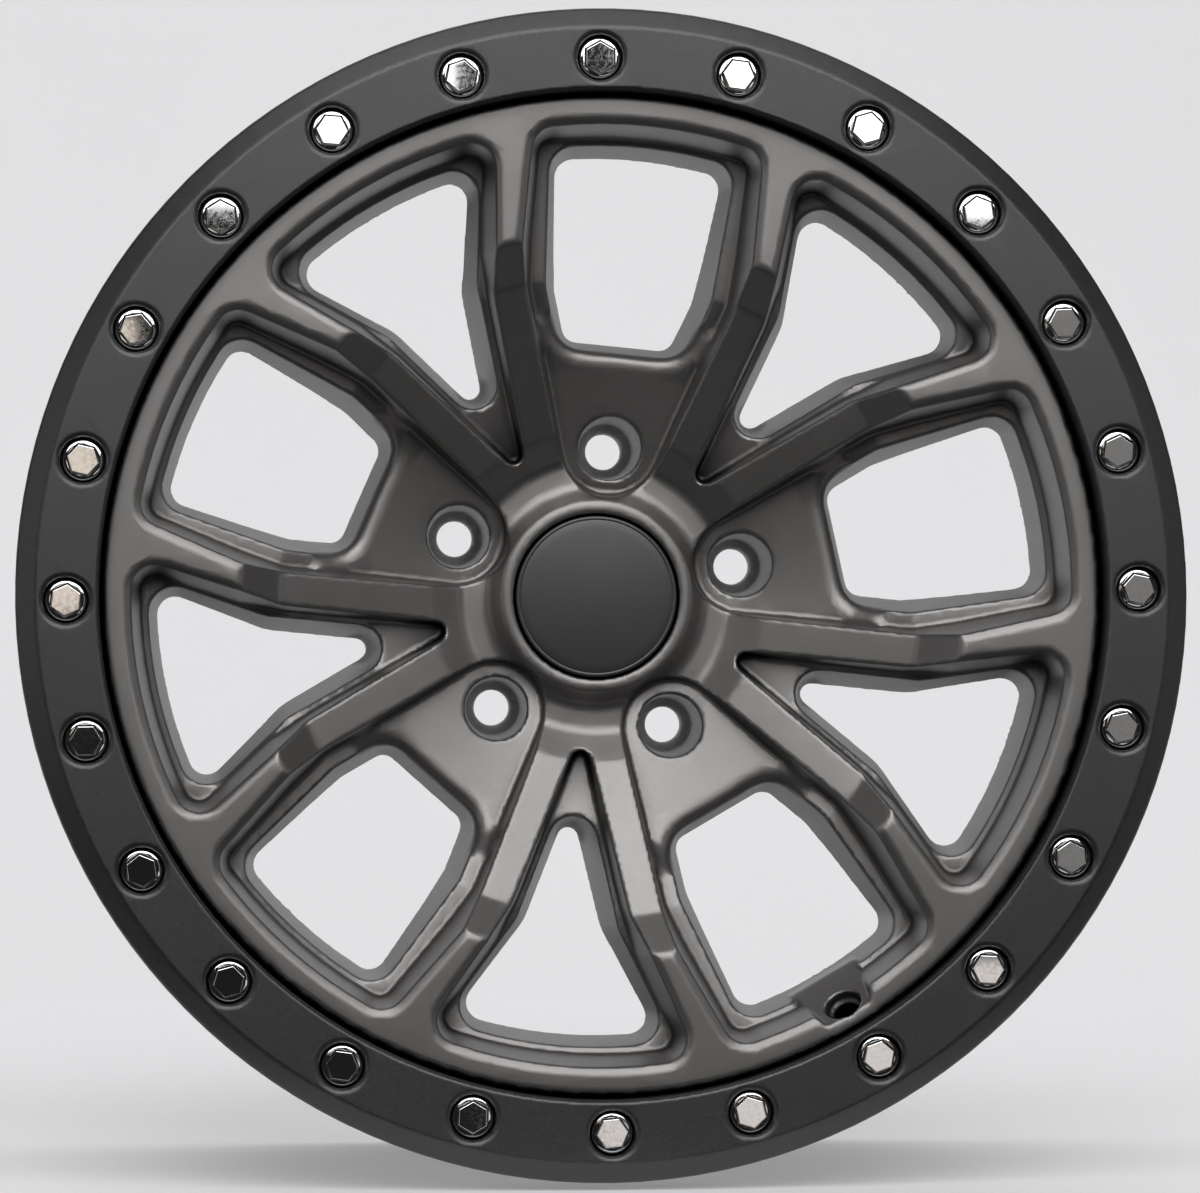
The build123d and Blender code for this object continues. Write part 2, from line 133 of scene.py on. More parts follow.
class CastingSettings(bpy.types.PropertyGroup):
    """Finish of the cast wheel."""
    paint: bpy.props.FloatVectorProperty(
        name="Paint", description="Colour of the satin metallic paint", subtype="COLOR",
        size=4, min=0, max=1, default=(0.258, 0.251, 0.246, 1))
    paint_shade: bpy.props.FloatVectorProperty(
        name="Paint shade", description="Darker tone that drifts through the paint", subtype="COLOR",
        size=4, min=0, max=1, default=(0.232, 0.225, 0.219, 1))
    roughness: bpy.props.FloatProperty(
        name="Roughness", description="Mean roughness of the paint",
        subtype="FACTOR", min=0, max=1, default=0.43)
    # Painted shade: within this reach the ambient occlusion darkens the paint in recesses and crevices, where
    # shade falls
    painted_shade_reach: bpy.props.FloatProperty(
        name="Recess", description="Depth of the recesses where the paint looks darker",
        unit="LENGTH", default=0.014)
    grain: bpy.props.FloatProperty(
        name="Grain", description="Size of the cells that round the cast edges",
        unit="LENGTH", default=0.0009)
    rounds: bpy.props.IntProperty(
        name="Rounds", description="Smoothing passes over the edges", default=8, min=1)
    faces: bpy.props.IntProperty(
        name="Faces", description="Most triangles kept in the casting", default=190000, min=1000)
    lug_count: bpy.props.IntProperty(name="Lugs", description="Lug pads round the hub", default=5, min=3)
    lug_turn: bpy.props.FloatProperty(
        name="Lug turn", description="First lug, clockwise from the top",
        subtype="ANGLE", default=radians(5.6))
    lip_radius: bpy.props.FloatProperty(
        name="Lip radius", description="Distance of a lug pad's outer lip from the axle", unit="LENGTH",
        default=0.1029)
    lip_height: bpy.props.FloatProperty(
        name="Lip height", description="Height of the lip outboard of the hub pad",
        unit="LENGTH", default=0.0558)
    lip_half: bpy.props.FloatProperty(
        name="Lip half width", description="Half the width of the lip's straight part",
        unit="LENGTH", default=0.019)
    lip_reach: bpy.props.FloatProperty(
        name="Lip reach", description="How far the lip's round spreads", unit="LENGTH", default=0.009)
    lip_rounds: bpy.props.IntProperty(
        name="Lip rounds", description="Smoothing passes over the lip", default=150, min=1)


class RingSettings(bpy.types.PropertyGroup):
    """Finish of the clamp ring."""
    coat: bpy.props.FloatVectorProperty(
        name="Coat", description="Colour of the matte powder coat", subtype="COLOR",
        size=4, min=0, max=1, default=(0.009, 0.009, 0.0097, 1))
    roughness: bpy.props.FloatProperty(
        name="Roughness", description="Mean roughness of the coat",
        subtype="FACTOR", min=0, max=1, default=0.42)
    grain: bpy.props.FloatProperty(
        name="Grain", description="Size of the cells that round the ring's edges",
        unit="LENGTH", default=0.0008)
    rounds: bpy.props.IntProperty(
        name="Rounds", description="Smoothing passes over the edges", default=6, min=1)
    faces: bpy.props.IntProperty(
        name="Faces", description="Most triangles kept in the ring", default=120000, min=1000)
    well_radius: bpy.props.FloatProperty(
        name="Well radius", description="Radius of the wells that hold the bolt heads",
        unit="LENGTH", default=0.0096)
    lip_reach: bpy.props.FloatProperty(
        name="Lip reach", description="How far the round of a well's lip spreads",
        unit="LENGTH", default=0.0024)
    lip_rounds: bpy.props.IntProperty(
        name="Lip rounds", description="Smoothing passes over the wells' lips", default=20, min=1)


class BoltSettings(bpy.types.PropertyGroup):
    """Sizes and finish of the flanged ring bolts."""
    count: bpy.props.IntProperty(name="Count", description="Bolts round the ring", default=24, min=3)
    circle: bpy.props.FloatProperty(
        name="Bolt circle", description="Radius of the bolt circle", unit="LENGTH", default=0.2235)
    turn: bpy.props.FloatProperty(
        name="Turn", description="First bolt, clockwise from the top",
        subtype="ANGLE", default=radians(-0.66))
    hex_step: bpy.props.FloatProperty(
        name="Hexagon step", description="How far each hexagon is turned past the one before it",
        subtype="ANGLE",
        default=radians(37))
    shank_radius: bpy.props.FloatProperty(
        name="Shank radius", description="Radius of the shank", unit="LENGTH", default=0.004)
    flange_radius: bpy.props.FloatProperty(
        name="Flange radius", description="Radius of the washer face", unit="LENGTH", default=0.0085)
    flange: bpy.props.FloatProperty(
        name="Flange", description="Thickness of the flange at the hexagon", unit="LENGTH", default=0.0054)
    flange_edge: bpy.props.FloatProperty(
        name="Flange edge", description="Thickness of the flange at its rim", unit="LENGTH", default=0.0048)
    flats: bpy.props.FloatProperty(
        name="Across flats", description="Width of the hexagon", unit="LENGTH", default=0.013)
    head: bpy.props.FloatProperty(
        name="Head", description="Height of the head with its flange", unit="LENGTH", default=0.0078)
    chamfer: bpy.props.FloatProperty(
        name="Chamfer", description="Bevel round the top of the hexagon", unit="LENGTH", default=0.0009)
    edge: bpy.props.FloatProperty(
        name="Edge", description="Round of the bolt's sharp edges", unit="LENGTH", default=0.00018)
    segments: bpy.props.IntProperty(
        name="Segments", description="Steps round the flange", default=48, min=12)
    plating: bpy.props.FloatVectorProperty(
        name="Plating", description="Colour of the bright plating", subtype="COLOR",
        size=4, min=0, max=1, default=(0.88, 0.88, 0.88, 1))


class CapSettings(bpy.types.PropertyGroup):
    """Finish of the centre cap."""
    plastic: bpy.props.FloatVectorProperty(
        name="Plastic", description="Colour of the moulded cap", subtype="COLOR",
        size=4, min=0, max=1, default=(0.012, 0.012, 0.0125, 1))
    roughness: bpy.props.FloatProperty(
        name="Roughness", description="Mean roughness of the cap",
        subtype="FACTOR", min=0, max=1, default=0.38)
    radius: bpy.props.FloatProperty(
        name="Radius", description="Outer radius of the cap", unit="LENGTH", default=0.0343)
    crown: bpy.props.FloatProperty(
        name="Crown", description="Rise of the cap's middle over its edge", unit="LENGTH", default=0.0014)
    seat: bpy.props.FloatProperty(
        name="Seat", description="Thickness of the cap at its edge", unit="LENGTH", default=0.0031)
    bead: bpy.props.FloatProperty(
        name="Bead", description="Width of the raised edge bead and of the groove inside it", unit="LENGTH",
        default=0.0007)
    segments: bpy.props.IntProperty(name="Segments", description="Steps round the cap", default=128, min=24)


class StageSettings(bpy.types.PropertyGroup):
    """Camera, floor and light."""
    azimuth: bpy.props.FloatProperty(
        name="Azimuth", description="Camera angle from straight ahead, to the right", subtype="ANGLE",
        default=radians(-4.5))
    elevation: bpy.props.FloatProperty(
        name="Elevation", description="Camera angle above the axle",
        subtype="ANGLE", default=radians(-0.84))
    distance: bpy.props.FloatProperty(
        name="Distance", description="Camera to the ring's front face", unit="LENGTH", default=2.29)
    scale: bpy.props.FloatProperty(
        name="Scale", description="Photograph pixels for each metre at the ring's front face", default=2410)
    centre: bpy.props.FloatVectorProperty(
        name="Centre", description="Photograph pixel of the ring's centre", size=2, default=(606.8, 594.6))
    paper: bpy.props.FloatVectorProperty(
        name="Paper", description="Colour of the floor and backdrop", subtype="COLOR",
        size=4, min=0, max=1, default=(0.74, 0.74, 0.75, 1))
    glow: bpy.props.FloatProperty(
        name="Glow", description="Light that comes through the backlit paper", min=0, default=0.31)
    paper_front: bpy.props.FloatProperty(
        name="Paper front", description="Y of the table's front edge", unit="LENGTH", default=-0.14)
    paper_fold: bpy.props.FloatProperty(
        name="Paper fold", description="Y where the paper turns up", unit="LENGTH", default=1.35)
    paper_half: bpy.props.FloatProperty(
        name="Paper half width", description="Half the width of the paper", unit="LENGTH", default=4.0)
    paper_height: bpy.props.FloatProperty(
        name="Paper height", description="Height of the backdrop", unit="LENGTH", default=3.0)
    paper_round: bpy.props.FloatProperty(
        name="Paper round", description="Size of the curve at the fold", unit="LENGTH", default=0.12)
    room: bpy.props.FloatProperty(
        name="Room", description="Light of the dim room around the stage", min=0, default=0.012)


class LampSettings(bpy.types.PropertyGroup):
    """One soft light or bounce card."""
    place: bpy.props.FloatVectorProperty(
        name="Place", description="Centre of the card", subtype="XYZ", size=3)
    size: bpy.props.FloatVectorProperty(name="Size", description="Width and height of the card", size=2)
    shine: bpy.props.FloatProperty(name="Shine", description="Brightness of the card", min=0)
    tint: bpy.props.FloatVectorProperty(
        name="Tint", description="Colour of the light", subtype="COLOR", size=3)


# Soft lights and bounce cards: centre, width and height in metres, brightness and tint
LAMPS = {
    "key_softbox": ((0.0, -2.20, 1.72), (2.7, 2.6), 2.4, (1.0, 1.0, 1.0)),
    "left_window_card": ((-0.06, -2.90, 0.58), (0.26, 0.34), 1.6, (1.0, 1.0, 1.0)),
    "right_window_card": ((0.46, -2.90, 0.56), (0.36, 0.36), 1.6, (1.0, 1.0, 1.0)),
    "right_card": ((0.70, -2.46, 0.05), (0.36, 0.56), 0.15, (1.0, 0.96, 0.93)),
    "low_card": ((0.42, -2.46, -0.37), (0.56, 0.22), 0.55, (1.0, 0.94, 0.90)),
    "left_card": ((-0.38, -2.46, 0.14), (0.34, 0.28), 0.62, (1.0, 0.88, 0.76)),
    "left_softbox": ((-2.30, -1.20, 0.30), (0.9, 1.8), 0.6, (1.0, 1.0, 1.0)),
    "right_softbox": ((2.30, -1.20, 0.30), (0.9, 1.8), 0.45, (1.0, 1.0, 1.0)),
    "back_softbox": ((0.0, 0.75, 2.40), (3.0, 0.9), 1.4, (1.0, 1.0, 1.0)),
}


def new_material(name):
    """A node material with its shader, output and object coordinates."""
    material = bpy.data.materials.new(name)
    material.use_nodes = True
    tree = material.node_tree
    shader = tree.nodes["Principled BSDF"]
    place = tree.nodes.new("ShaderNodeTexCoord")
    return material, tree, shader, place


def noise(tree, place, scale, detail=2.0, roughness=0.5):
    """Noise on object coordinates."""
    node = tree.nodes.new("ShaderNodeTexNoise")
    node.inputs["Scale"].default_value = scale
    node.inputs["Detail"].default_value = detail
    node.inputs["Roughness"].default_value = roughness
    tree.links.new(place.outputs["Object"], node.inputs["Vector"])
    return node


def remap(tree, source, low, high, start=0.3, end=0.7):
    """A value brought from one range into another."""
    node = tree.nodes.new("ShaderNodeMapRange")
    node.inputs["From Min"].default_value = start
    node.inputs["From Max"].default_value = end
    node.inputs["To Min"].default_value = low
    node.inputs["To Max"].default_value = high
    tree.links.new(source, node.inputs["Value"])
    return node.outputs["Result"]


def blend(tree, factor, first, second):
    """Two colours mixed by a factor."""
    node = tree.nodes.new("ShaderNodeMix")
    node.data_type = "RGBA"
    tree.links.new(factor, node.inputs["Factor"])
    node.inputs["A"].default_value = first
    node.inputs["B"].default_value = second
    return node.outputs["Result"]


def scaled(tree, colour, factor):
    """A colour made darker by a factor."""
    node = tree.nodes.new("ShaderNodeVectorMath")
    node.operation = "SCALE"
    tree.links.new(colour, node.inputs[0])
    tree.links.new(factor, node.inputs["Scale"])
    return node.outputs["Vector"]


def roughen(tree, shader, source, mean, stray):
    """Roughness that strays round its mean."""
    below, above = stray
    tree.links.new(remap(tree, source, mean - below, mean + above), shader.inputs["Roughness"])


def bump(tree, shader, height, relief):
    """Fine relief on the shader's normal."""
    distance, strength = relief
    node = tree.nodes.new("ShaderNodeBump")
    node.inputs["Distance"].default_value = distance
    node.inputs["Strength"].default_value = strength
    tree.links.new(height, node.inputs["Height"])
    tree.links.new(node.outputs["Normal"], shader.inputs["Normal"])


def satin_paint(settings):
    """Satin metallic paint on the casting, with a fine flake, a slow drift in tone, and painted shade in its
    recesses.
    """
    material, tree, shader, place = new_material("satin_bronze_grey")
    drift = noise(tree, place, PAINT_DRIFT, 3)
    colour = blend(tree, remap(tree, drift.outputs["Fac"], 0, 1), settings.paint, settings.paint_shade)
    # Painted shade: an ambient occlusion node darkens the paint's colour and its specular tint in recesses
    # and crevices
    open_air = tree.nodes.new("ShaderNodeAmbientOcclusion")
    open_air.inputs["Distance"].default_value = settings.painted_shade_reach
    shade = remap(tree, open_air.outputs["AO"], PAINTED_SHADE_DARKEST, 1, PAINTED_SHADE_CLOSED, PAINTED_SHADE_OPEN)
    tree.links.new(scaled(tree, colour, shade), shader.inputs["Base Color"])
    tree.links.new(shade, shader.inputs["Specular Tint"])
    flake = noise(tree, place, PAINT_FLAKE, 1)
    roughen(tree, shader, flake.outputs["Fac"], settings.roughness, PAINT_STRAY)
    shader.inputs["Metallic"].default_value = PAINT_METAL
    bump(tree, shader, flake.outputs["Fac"], PAINT_RELIEF)
    return material


def powder_coat(settings):
    """Matte black powder coat with a fine orange peel."""
    material, tree, shader, place = new_material("black_powder_coat")
    drift = noise(tree, place, COAT_DRIFT, 3)
    lighter = [channel * COAT_TONE for channel in settings.coat[:3]] + [1]
    colour = blend(tree, remap(tree, drift.outputs["Fac"], 0, 1), settings.coat, lighter)
    tree.links.new(colour, shader.inputs["Base Color"])
    peel = noise(tree, place, COAT_PEEL, 2)
    roughen(tree, shader, peel.outputs["Fac"], settings.roughness, COAT_STRAY)
    shader.inputs["Specular IOR Level"].default_value = BLACK_SPECULAR
    bump(tree, shader, peel.outputs["Fac"], COAT_RELIEF)
    return material


def bright_plating(settings):
    """Bright plated steel with faint handling marks."""
    material, tree, shader, place = new_material("bright_plating")
    marks = noise(tree, place, PLATING_MARKS, 3)
    duller = [channel * PLATING_TONE for channel in settings.plating[:3]] + [1]
    colour = blend(tree, remap(tree, marks.outputs["Fac"], 0, 1), settings.plating, duller)
    tree.links.new(colour, shader.inputs["Base Color"])
    tree.links.new(remap(tree, marks.outputs["Fac"], *PLATING_ROUGHNESS), shader.inputs["Roughness"])
    shader.inputs["Metallic"].default_value = 1.0
    return material


def moulded_black(settings):
    """Matte moulded plastic of the cap."""
    material, tree, shader, place = new_material("moulded_black")
    drift = noise(tree, place, CAP_DRIFT, 2)
    lighter = [channel * CAP_TONE for channel in settings.plastic[:3]] + [1]
    colour = blend(tree, remap(tree, drift.outputs["Fac"], 0, 1), settings.plastic, lighter)
    tree.links.new(colour, shader.inputs["Base Color"])
    grain = noise(tree, place, CAP_GRAIN, 2)
    roughen(tree, shader, grain.outputs["Fac"], settings.roughness, CAP_STRAY)
    shader.inputs["Specular IOR Level"].default_value = BLACK_SPECULAR
    bump(tree, shader, grain.outputs["Fac"], CAP_RELIEF)
    return material


def link_piece(name, mesh, material, slot, *nodes):
    """A new object at the origin that rides on the wheel and stands for CAD nodes."""
    mesh.materials.clear()
    mesh.materials.append(material)
    piece = bpy.data.objects.new(name, mesh)
    bpy.context.scene.collection.objects.link(piece)
    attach(piece, "root")
    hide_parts(*nodes)
    return piece


def merged_copy(node):
    """A CAD node's triangles as a closed mesh to work on."""
    bm = bmesh.new()
    bm.from_mesh(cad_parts[node].data)
    bmesh.ops.remove_doubles(bm, verts=bm.verts, dist=WELD)
    return bm


def applied(mesh, *modifiers):
    """A mesh with modifiers applied, each given as a type and its settings."""
    holder = bpy.data.objects.new("holder", mesh)
    bpy.context.scene.collection.objects.link(holder)
    for kind, values in modifiers:
        modifier = holder.modifiers.new(kind, kind)
        for name, value in values.items():
            setattr(modifier, name, value)
    bpy.context.view_layer.update()
    shown = holder.evaluated_get(bpy.context.evaluated_depsgraph_get())
    result = bpy.data.meshes.new_from_object(shown)
    bpy.data.objects.remove(holder)
    return result


def lip_weights(points, settings):
    """How strongly each point of the casting belongs to the rounded outer lip of a lug pad."""
    weights = np.zeros(len(points))
    for index in range(settings.lug_count):
        clock = settings.lug_turn + index * 2 * pi / settings.lug_count
        along = points[:, 0] * sin(clock) + points[:, 2] * cos(clock)
        aside = np.abs(points[:, 0] * cos(clock) - points[:, 2] * sin(clock))
        bend = LIP_BEND * np.clip(aside - settings.lip_half, 0, settings.lip_half / 2) ** 2
        off_along = along - settings.lip_radius - bend
        off_height = -points[:, 1] - settings.lip_height - LIP_RISE * bend
        near = 1 - np.hypot(off_along, off_height) / settings.lip_reach
        weights = np.maximum(weights, np.where(aside < 2 * settings.lip_half, near, 0))
    return np.clip(2 * weights, 0, 1)


def well_weights(points, settings):
    """How strongly each point of the ring belongs to the rounded lip of a bolt's well."""
    bolts = bpy.context.scene.wheel_bolts
    pitch = 2 * pi / bolts.count
    clocks = bolts.turn + np.arange(bolts.count) * pitch
    middle = bolts.circle * np.stack([np.sin(clocks), np.cos(clocks)], axis=1)
    around = np.arctan2(points[:, 0], points[:, 2]) - bolts.turn
    nearest = np.round(around / pitch).astype(int) % bolts.count
    off_wall = np.hypot(*(points[:, [0, 2]] - middle[nearest]).T) - settings.well_radius
    off_face = points[:, 1] - RING_BOX[0][1]
    return np.clip(2 * (1 - np.hypot(off_wall, off_face) / settings.lip_reach), 0, 1)


def softened(node, settings, weigh):
    """A CAD node with its sharp edges rounded as a casting's are, kept inside the node's own box.

    weigh picks the points that get a larger round.
    """
    bm = merged_copy(node)
    sharp = bpy.data.meshes.new(node)
    bm.to_mesh(sharp)
    bm.free()
    fine = applied(
        sharp,
        ("REMESH", {"mode": "VOXEL", "voxel_size": settings.grain, "use_smooth_shade": True}),
        ("SMOOTH", {"factor": 0.5, "iterations": settings.rounds}),
    )
    points = np.empty(3 * len(fine.vertices))
    fine.vertices.foreach_get("co", points)
    points = np.clip(points.reshape(-1, 3), *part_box(node))
    points = trued(fine, points, settings.grain)
    points = rounded(fine, points, weigh(points, settings), settings.lip_rounds)
    fine.vertices.foreach_set("co", points.ravel())
    share = min(1, settings.faces / (2 * len(fine.polygons)))
    return applied(fine, ("DECIMATE", {"ratio": share}), ("WEIGHTED_NORMAL", {"weight": NORMAL_WEIGHT}))


def trued(mesh, points, grain):
    """Points of the barrel moved onto the circle that their height and side share, so that no facet shows."""
    facing = np.empty(3 * len(points))
    mesh.vertices.foreach_get("normal", facing)
    facing = facing.reshape(-1, 3)
    reach = np.hypot(points[:, 0], points[:, 2])
    outward = (facing[:, 0] * points[:, 0] + facing[:, 2] * points[:, 2]) / reach
    barrel = reach > BARREL_RADIUS
    outside = barrel & (outward > BARREL_FACING)
    inside = barrel & (outward < -BARREL_FACING) & (points[:, 1] > 0)
    for side in (outside, inside):
        picked = np.flatnonzero(side)
        if not len(picked):
            continue
        height = points[picked, 1]
        radius = reach[picked]
        row = np.round(height / grain).astype(int)
        row -= row.min()
        count = np.maximum(np.bincount(row), 1)
        middle = np.bincount(row, weights=radius) / count
        level = np.bincount(row, weights=height) / count
        spread = np.sqrt(np.bincount(row, weights=(radius - middle[row]) ** 2) / count)
        whole = (count > BARREL_ROW) & (spread < FACET_DEPTH)
        if not whole.any():
            continue
        circle = np.interp(height, level[whole], middle[whole])
        close = whole[row] & (np.abs(circle - radius) < FACET_DEPTH)
        scale = np.where(close, circle / radius, 1)
        points[picked, 0] *= scale
        points[picked, 2] *= scale
    return points


def rounded(mesh, points, weights, rounds):
    """Points drawn towards the mean of their neighbours, as far as their weights let them."""
    edges = np.empty(2 * len(mesh.edges), dtype=np.int64)
    mesh.edges.foreach_get("vertices", edges)
    edges = edges.reshape(-1, 2)
    edges = edges[(weights[edges] > 0).any(axis=1)]
    used, ends = np.unique(edges, return_inverse=True)
    first, second = ends.reshape(-1, 2).T
    place = points[used]
    pull = weights[used][:, None] / 2
    count = np.bincount(ends.ravel(), minlength=len(used))[:, None]
    for _ in range(rounds):
        total = np.zeros_like(place)
        np.add.at(total, first, place[second])
        np.add.at(total, second, place[first])
        place = place + pull * (total / count - place)
    points[used] = place
    return points


def spun(bm, profile, steps):
    """Adds a closed surface: a profile of radii and depths turned round Y."""
    points = [bm.verts.new((radius, depth, 0)) for radius, depth in profile]
    edges = [bm.edges.new(pair) for pair in zip(points, points[1:])]
    bmesh.ops.spin(bm, geom=points + edges, axis=(0, 1, 0), cent=(0, 0, 0), angle=2 * pi, steps=steps,
                   use_merge=True)
    bmesh.ops.remove_doubles(bm, verts=bm.verts, dist=WELD)


def bolt_template(settings):
    """One flanged hex bolt on the axis: a spun flange and shank, and a chamfered hexagon."""
    bm = bmesh.new()
    top = BOLT_BOX[0][1]
    seat = top + settings.head
    rim = settings.flange_radius
    shank = settings.shank_radius
    end = BOLT_BOX[1][1]
    neck = settings.flats / 2
    dome = settings.flange - settings.flange_edge
    turns = [step * pi / 2 / DOME_STEPS for step in range(DOME_STEPS + 1)]
    crest = [
        (neck + (rim - neck) * sin(turn), seat - settings.flange_edge - dome * cos(turn))
        for turn in turns
    ]
    spun(bm, (
        (0, seat - settings.flange),
        *crest,
        (rim, seat - settings.edge),
        (rim - settings.edge, seat),
        (shank, seat),
        (shank, end - settings.chamfer),
        (shank - settings.chamfer, end),
        (0, end),
    ), settings.segments)
    height = settings.head - settings.flange / 2
    corner = settings.flats / sqrt(3)
    stand = Matrix.Translation((0, top + height / 2, 0)) @ Matrix.Rotation(radians(90), 4, "X")
    made = bmesh.ops.create_cone(bm, cap_ends=True, segments=6, radius1=corner, radius2=corner, depth=height,
                                 matrix=stand)
    upper = [v for v in made["verts"] if abs(v.co.y - top) < WELD]
    brim = {e for v in upper for e in v.link_edges if e.other_vert(v) in upper}
    bmesh.ops.bevel(bm, geom=list(brim), offset=settings.chamfer, offset_type="OFFSET", segments=1,
                    profile=0.5, affect="EDGES", material=-1)
    sharp = [e for e in bm.edges if len(e.link_faces) == 2 and e.calc_face_angle() > radians(20)
             and all(v.co.y < seat - settings.flange for v in e.verts)]
    bmesh.ops.bevel(bm, geom=sharp, offset=settings.edge, offset_type="OFFSET", segments=2, profile=0.5,
                    affect="EDGES", material=-1)
    bmesh.ops.recalc_face_normals(bm, faces=bm.faces)
    for face in bm.faces:
        face.smooth = True
    mesh = bpy.data.meshes.new("bolt_template")
    bm.to_mesh(mesh)
    bm.free()
    return mesh


def all_bolts(settings):
    """Every bolt in its place on the circle, each hexagon turned as it was tightened."""
    template = bolt_template(settings)
    bm = bmesh.new()
    for index in range(settings.count):
        first = len(bm.verts)
        bm.from_mesh(template)
        bm.verts.ensure_lookup_table()
        clock = settings.turn + index * 2 * pi / settings.count
        place = Vector((settings.circle * sin(clock), 0, settings.circle * cos(clock)))
        turned = Matrix.Translation(place) @ Matrix.Rotation(index * settings.hex_step, 4, "Y")
        bmesh.ops.transform(bm, matrix=turned, verts=bm.verts[first:])
    mesh = bpy.data.meshes.new("ring_bolts")
    bm.to_mesh(mesh)
    bm.free()
    bpy.data.meshes.remove(template)
    return applied(mesh, ("WEIGHTED_NORMAL", {"weight": NORMAL_WEIGHT}))


def crowned_cap(settings):
    """The cap's disc with a groove and bead round its edge, on the clip legs of the CAD node."""
    bm = merged_copy("centre_cap")
    top = CAP_BOX[0][1]
    under = top + settings.crown + settings.seat
    bmesh.ops.bisect_plane(bm, geom=bm.verts[:] + bm.edges[:] + bm.faces[:], plane_co=(0, under, 0),
                           plane_no=(0, 1, 0), clear_inner=True)
    groove_in = settings.radius - 3 * settings.bead
    dip = settings.bead / 3
    profile = [(groove_in * step / CROWN_STEPS, 0) for step in range(CROWN_STEPS + 1)]
    profile += [
        (groove_in + dip, dip),
        (groove_in + settings.bead - dip, dip),
        (groove_in + settings.bead, 0),
        (settings.radius - settings.bead, 0),
        (settings.radius - dip, dip / 2),
        (settings.radius, settings.bead),
    ]
    profile = [
        (radius, top + settings.crown * (radius / settings.radius) ** 2 + drop)
        for radius, drop in profile
    ]
    profile += [(settings.radius, under), (0, under)]
    spun(bm, profile, settings.segments)
    bmesh.ops.recalc_face_normals(bm, faces=bm.faces)
    for face in bm.faces:
        face.smooth = True
    mesh = bpy.data.meshes.new("centre_cap")
    bm.to_mesh(mesh)
    bm.free()
    return applied(mesh, ("WEIGHTED_NORMAL", {"weight": NORMAL_WEIGHT}))


class WHEEL_OT_casting(bpy.types.Operator):
    """Finish the cast wheel in satin metallic paint"""
    bl_idname = "wheel.casting"
    bl_label = "Casting"

    def execute(self, context):
        settings = context.scene.wheel_casting
        mesh = softened("wheel_casting", settings, lip_weights)
        link_piece("cast_wheel", mesh, satin_paint(settings), "casting", "wheel_casting")
        return {"FINISHED"}


class WHEEL_OT_ring(bpy.types.Operator):
    """Finish the clamp ring in matte black powder coat"""
    bl_idname = "wheel.ring"
    bl_label = "Clamp ring"

    def execute(self, context):
        settings = context.scene.wheel_ring
        mesh = softened("beadlock_ring", settings, well_weights)
        link_piece("clamp_ring", mesh, powder_coat(settings), "ring", "beadlock_ring")
        return {"FINISHED"}


class WHEEL_OT_bolts(bpy.types.Operator):
    """Finish the ring bolts in bright plating"""
    bl_idname = "wheel.bolts"
    bl_label = "Ring bolts"

    def execute(self, context):
        settings = context.scene.wheel_bolts
        link_piece("plated_bolts", all_bolts(settings), bright_plating(settings), "bolts", "ring_bolts")
        return {"FINISHED"}


class WHEEL_OT_cap(bpy.types.Operator):
    """Finish the centre cap in matte black plastic"""
    bl_idname = "wheel.cap"
    bl_label = "Centre cap"

    def execute(self, context):
        settings = context.scene.wheel_cap
        link_piece("moulded_cap", crowned_cap(settings), moulded_black(settings), "cap", "centre_cap")
        return {"FINISHED"}


def add_camera(settings):
    """Camera at the photograph's angle, framed for its width and height."""
    data = bpy.data.cameras.new("photo_camera")
    camera = bpy.data.objects.new("photo_camera", data)
    bpy.context.scene.collection.objects.link(camera)
    turn = settings.azimuth
    lift = settings.elevation
    right = Vector((cos(turn), sin(turn), 0))
    back = Vector((sin(turn) * cos(lift), -cos(turn) * cos(lift), sin(lift)))
    up = back.cross(right)
    target = Vector((0, RING_BOX[0][1], 0))
    place = target + back * settings.distance
    camera.matrix_world = Matrix((
        (right.x, up.x, back.x, place.x),
        (right.y, up.y, back.y, place.y),
        (right.z, up.z, back.z, place.z),
        (0, 0, 0, 1),
    ))
    data.sensor_fit = "HORIZONTAL"
    data.lens = data.sensor_width * settings.scale * settings.distance / FRAME_WIDTH
    data.shift_x = (FRAME_WIDTH / 2 - settings.centre[0]) / FRAME_WIDTH
    data.shift_y = (settings.centre[1] - FRAME_HEIGHT / 2) / FRAME_WIDTH
    data.clip_end = 50
    bpy.context.scene.camera = camera


def add_lamp(name, settings, aim):
    """A rectangular soft light that faces a point, with its power set for its brightness."""
    data = bpy.data.lights.new(name, "AREA")
    data.shape = "RECTANGLE"
    data.size, data.size_y = settings.size
    data.energy = 4 * settings.shine * settings.size[0] * settings.size[1]
    data.color = settings.tint
    lamp = bpy.data.objects.new(name, data)
    bpy.context.scene.collection.objects.link(lamp)
    place = Vector(settings.place)
    turned = (Vector(aim) - place).to_track_quat("-Z", "Y").to_matrix().to_4x4()
    lamp.matrix_world = Matrix.Translation(place) @ turned
    lamp.visible_camera = False


def pale_surface(settings):
    """Pale paper of the floor and backdrop."""
    material, tree, shader, place = new_material("pale_paper")
    drift = noise(tree, place, PAPER_DRIFT, 2)
    darker = [channel * PAPER_TONE for channel in settings.paper[:3]] + [1]
    colour = blend(tree, remap(tree, drift.outputs["Fac"], 0, 1), settings.paper, darker)
    tree.links.new(colour, shader.inputs["Base Color"])
    tree.links.new(colour, shader.inputs["Emission Color"])
    shader.inputs["Emission Strength"].default_value = settings.glow
    shader.inputs["Roughness"].default_value = PAPER_ROUGHNESS
    shader.inputs["Specular IOR Level"].default_value = PAPER_SPECULAR
    clear_from_behind(tree, shader)
    return material


